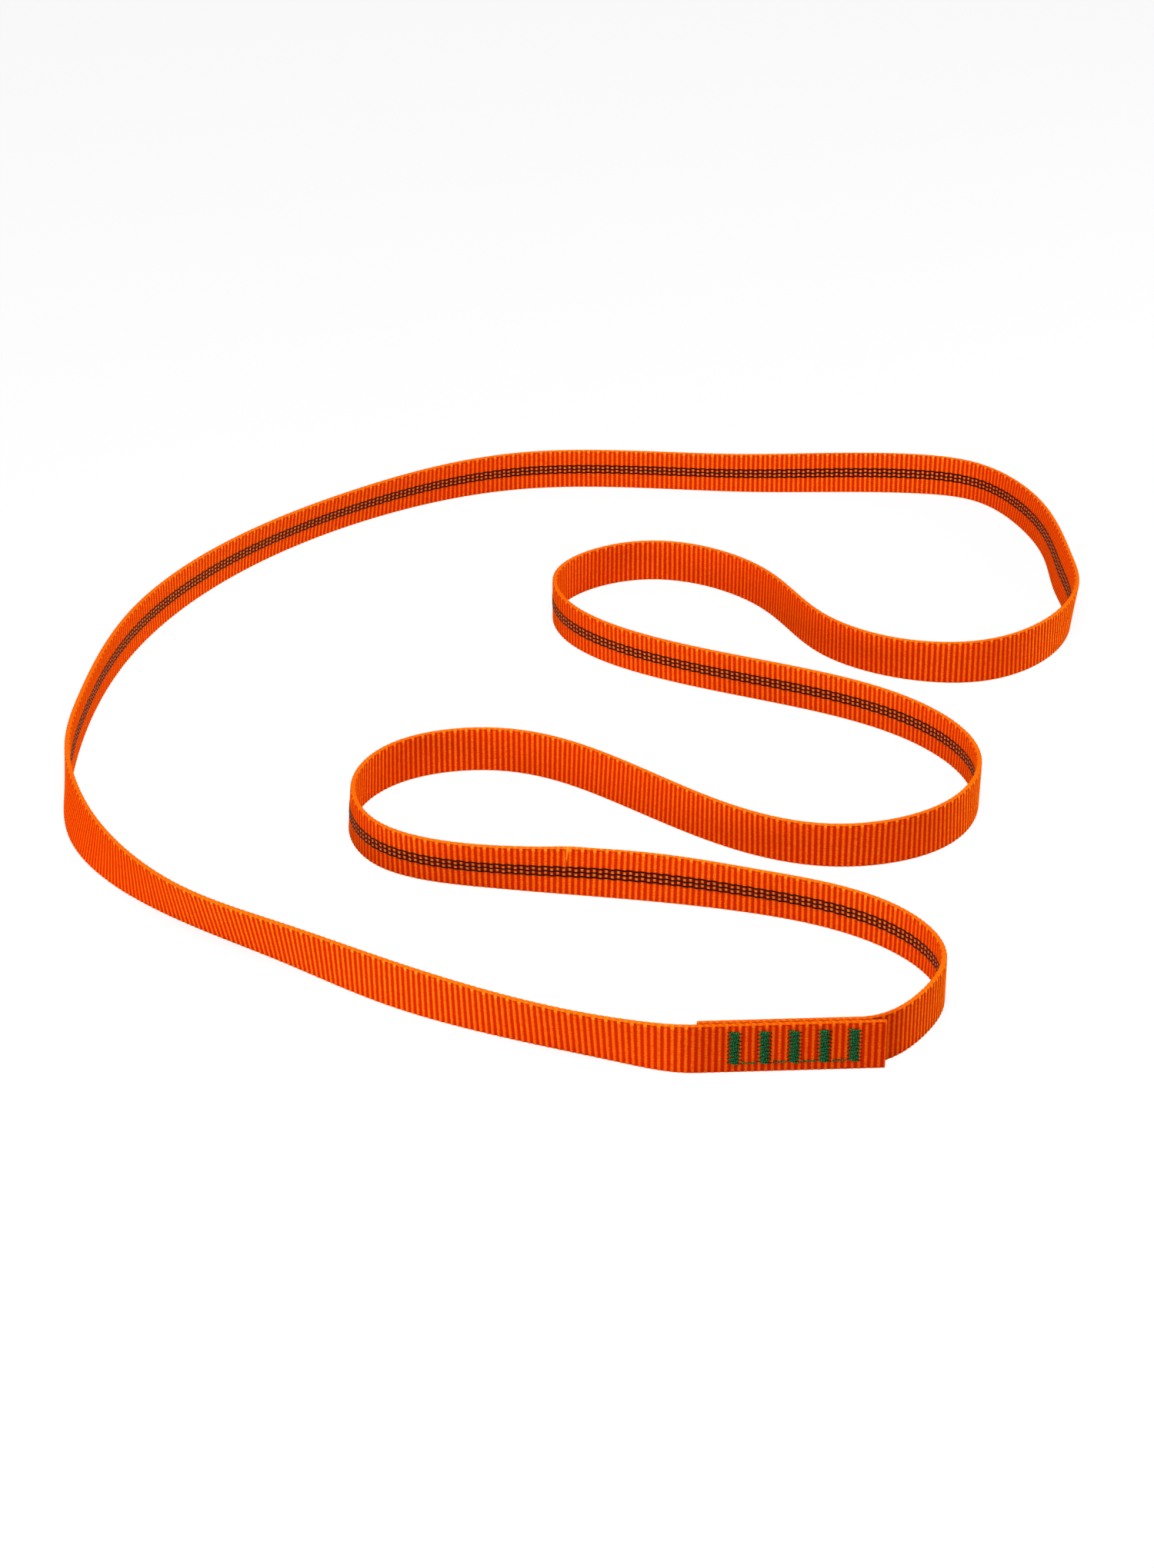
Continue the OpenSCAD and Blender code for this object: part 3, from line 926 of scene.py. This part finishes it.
def white_surroundings(stage):
    """A white world: full white to the camera and through clear things, and dimmer as a light."""
    world = bpy.data.worlds.new("white_surroundings")
    bpy.context.scene.world = world
    world.use_nodes = True
    tree = world.node_tree
    path = add(tree, "ShaderNodeLightPath")
    seen = add(tree, "ShaderNodeMath", path["Is Camera Ray"], path["Is Transmission Ray"],
               operation="MAXIMUM")
    background = tree.nodes["Background"]
    put(tree, background.inputs["Color"], "#FFFFFF")
    put(tree, background.inputs["Strength"], seen * (1 - stage.ambient) + stage.ambient)


# ================ operators
class SLING_OT_stage(bpy.types.Operator):
    """Set the photograph's camera, the white floor and the lamps"""
    bl_idname = "sling.stage"
    bl_label = "Stage and camera"

    def execute(self, context):
        stage = context.scene.sling_stage
        set_camera(set_route(context.scene.sling_web))
        context.scene.view_settings.view_transform = "Standard"
        mesh = bpy.data.meshes.new("floor")
        mesh.from_pydata([(x * FLOOR_REACH, y * FLOOR_REACH, 0) for x, y in
                          ((-1, -1), (1, -1), (1, 1), (-1, 1))], [], [(0, 1, 2, 3)])
        mesh.materials.append(white_floor(stage))
        floor = bpy.data.objects.new("floor", mesh)
        context.scene.collection.objects.link(floor)
        white_surroundings(stage)
        for name, place, size, power in LAMPS:
            lamp(name, place, size, getattr(stage, power))
        return {"FINISHED"}


class SLING_OT_web(bpy.types.Operator):
    bl_idname = "sling.web"
    bl_label = "Ribbed web"

    def execute(self, context):
        web = context.scene.sling_web
        route = set_route(web)
        points, attributes = web_points(route, web, find_crease(route, web))
        piece = new_piece("web_strip", [points], ribbed_nylon(web), attributes)
        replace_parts(piece, "webbing")
        foot, up, _ = route.at(np.linspace(0, route.length, CORD_PLACES))
        path = foot + up * web.width / 2
        return {"FINISHED"}


class SLING_OT_tracers(bpy.types.Operator):
    """Lay the three dark tracer yarns along the inner face"""
    bl_idname = "sling.tracers"
    bl_label = "Tracer yarns"

    def execute(self, context):
        web, tracer = context.scene.sling_web, context.scene.sling_tracer
        build_tracers(set_route(web), web, tracer, tracer_yarn_nylon(tracer))
        return {"FINISHED"}


class SLING_OT_sewing(bpy.types.Operator):
    """Sew the bar tacks and the running stitches between them, in front and behind"""
    bl_idname = "sling.sewing"
    bl_label = "Bar tacks and running stitches"

    def execute(self, context):
        web, thread = context.scene.sling_web, context.scene.sling_thread
        route = set_route(web)
        material = bonded_thread(thread)
        crowns = [crown for _, _, crown in TACK_LAYERS]
        faces = (("front", web.thickness / 2, 1, "needle"),
                 ("rear", -web.thickness / 2 - PLY_STEP, -1, "shuttle"))
        for place, face, way, kind in faces:
            for k in range(TACK_COUNT):
                sew(route, f"{kind}_tack_{k + 1}", tack_needles(web, k), crowns, face, way,
                    thread, material, f"{place}_tack_{k + 1}")
            for k in range(TACK_COUNT - 1):
                sew(route, f"{kind}_run_{k + 1}", run_needles(web, k), [RUN_CROWN], face, way,
                    thread, material, f"{place}_run_{k + 1}")
        return {"FINISHED"}


class SLING_PT_panel(bpy.types.Panel):
    """Buttons for the stage and for each group of pieces"""
    bl_label = "Flat web sling"
    bl_idname = "SLING_PT_panel"
    bl_space_type = "VIEW_3D"
    bl_region_type = "UI"
    bl_category = "Sling"

    def draw(self, context):
        for name, group in PROPERTY_GROUPS.items():
            for key in group.__annotations__:
                self.layout.prop(getattr(context.scene, name), key)
        for operator in OPERATORS:
            self.layout.operator(operator.bl_idname)


OPERATORS = (SLING_OT_stage, SLING_OT_web, SLING_OT_tracers, SLING_OT_sewing)
PROPERTY_GROUPS = {"sling_web": WebProps, "sling_tracer": TracerProps,
                   "sling_thread": ThreadProps, "sling_stage": StageProps}


def register():
    for group in PROPERTY_GROUPS.values():
        bpy.utils.register_class(group)
    for name, group in PROPERTY_GROUPS.items():
        setattr(bpy.types.Scene, name, bpy.props.PointerProperty(type=group))
    for operator in OPERATORS:
        bpy.utils.register_class(operator)
    bpy.utils.register_class(SLING_PT_panel)


def unregister():
    bpy.utils.unregister_class(SLING_PT_panel)
    for operator in reversed(OPERATORS):
        bpy.utils.unregister_class(operator)
    for name in PROPERTY_GROUPS:
        delattr(bpy.types.Scene, name)
    for group in reversed(PROPERTY_GROUPS.values()):
        bpy.utils.unregister_class(group)


# ================ how far the finished pieces show from the image points
NEAR_POINT = 40, 12   # pixels in x and y within which a bend's side is looked for


def vertices(name):
    """The points of a finished piece, one row each."""
    mesh = bpy.data.objects[name].data
    points = np.zeros(len(mesh.vertices) * 3, np.float32)
    mesh.vertices.foreach_get("co", points)
    return points.reshape(-1, 3)


def side_of_bend(x, y, name, pick):
    """How far the web's outermost x near an image point is from it: the least x or the most."""
    px, py = POINTS[name]
    near = (np.abs(x - px) < NEAR_POINT[0]) & (np.abs(y - py) < NEAR_POINT[1])
    return [pick(x[near]) - px, 0]


def crease_off(route, web):
    """How far the line across the web's inner face at the crease shows from its image point."""
    foot, up, out = route.at(np.array([find_crease(route, web)]))
    rise = np.linspace(0, web.width, 40)[:, None]
    x, y = photo_xy(foot + up * rise - out * web.thickness / 2)
    nearest = np.argmin(np.hypot(x - POINTS["crease"][0], y - POINTS["crease"][1]))
    return [x[nearest] - POINTS["crease"][0], y[nearest] - POINTS["crease"][1]]


def write_points(route):
    x, y = photo_xy(vertices("web_strip"))
    off = {"left": [x.min() - EDGES["left"], 0], "right": [x.max() - EDGES["right"], 0],
           "top": [0, y.min() - EDGES["top"]], "bottom": [0, y.max() - EDGES["bottom"]]}
    for k in range(TACK_COUNT):
        tx, ty = photo_xy(vertices(f"needle_tack_{k + 1}"))
        px, py = POINTS[f"tack_{k + 1}"]
        off[f"tack_{k + 1}"] = [(tx.min() + tx.max()) / 2 - px, (ty.min() + ty.max()) / 2 - py]
    for name, ring in (("front_cut_end", slice(0, RING_POINTS)),
                       ("rear_cut_end", slice(-RING_POINTS, None))):
        top = np.argmin(y[ring])
        off[name] = [x[ring][top] - POINTS[name][0], y[ring][top] - POINTS[name][1]]
    for name, pick in (("bend_left_mid", np.min), ("bend_left_small", np.min),
                       ("bend_right_mid", np.max), ("bend_right_low", np.max)):
        off[name] = side_of_bend(x, y, name, pick)
    off["crease"] = crease_off(route, bpy.context.scene.sling_web)
    off = {key: [round(float(v), 2) for v in pair] for key, pair in off.items()}


def main():
    register()
    bpy.ops.sling.stage()
    bpy.ops.sling.web()
    bpy.ops.sling.tracers()
    bpy.ops.sling.sewing()
    write_points(set_route(bpy.context.scene.sling_web))


if __name__ == "__main__":
    main()
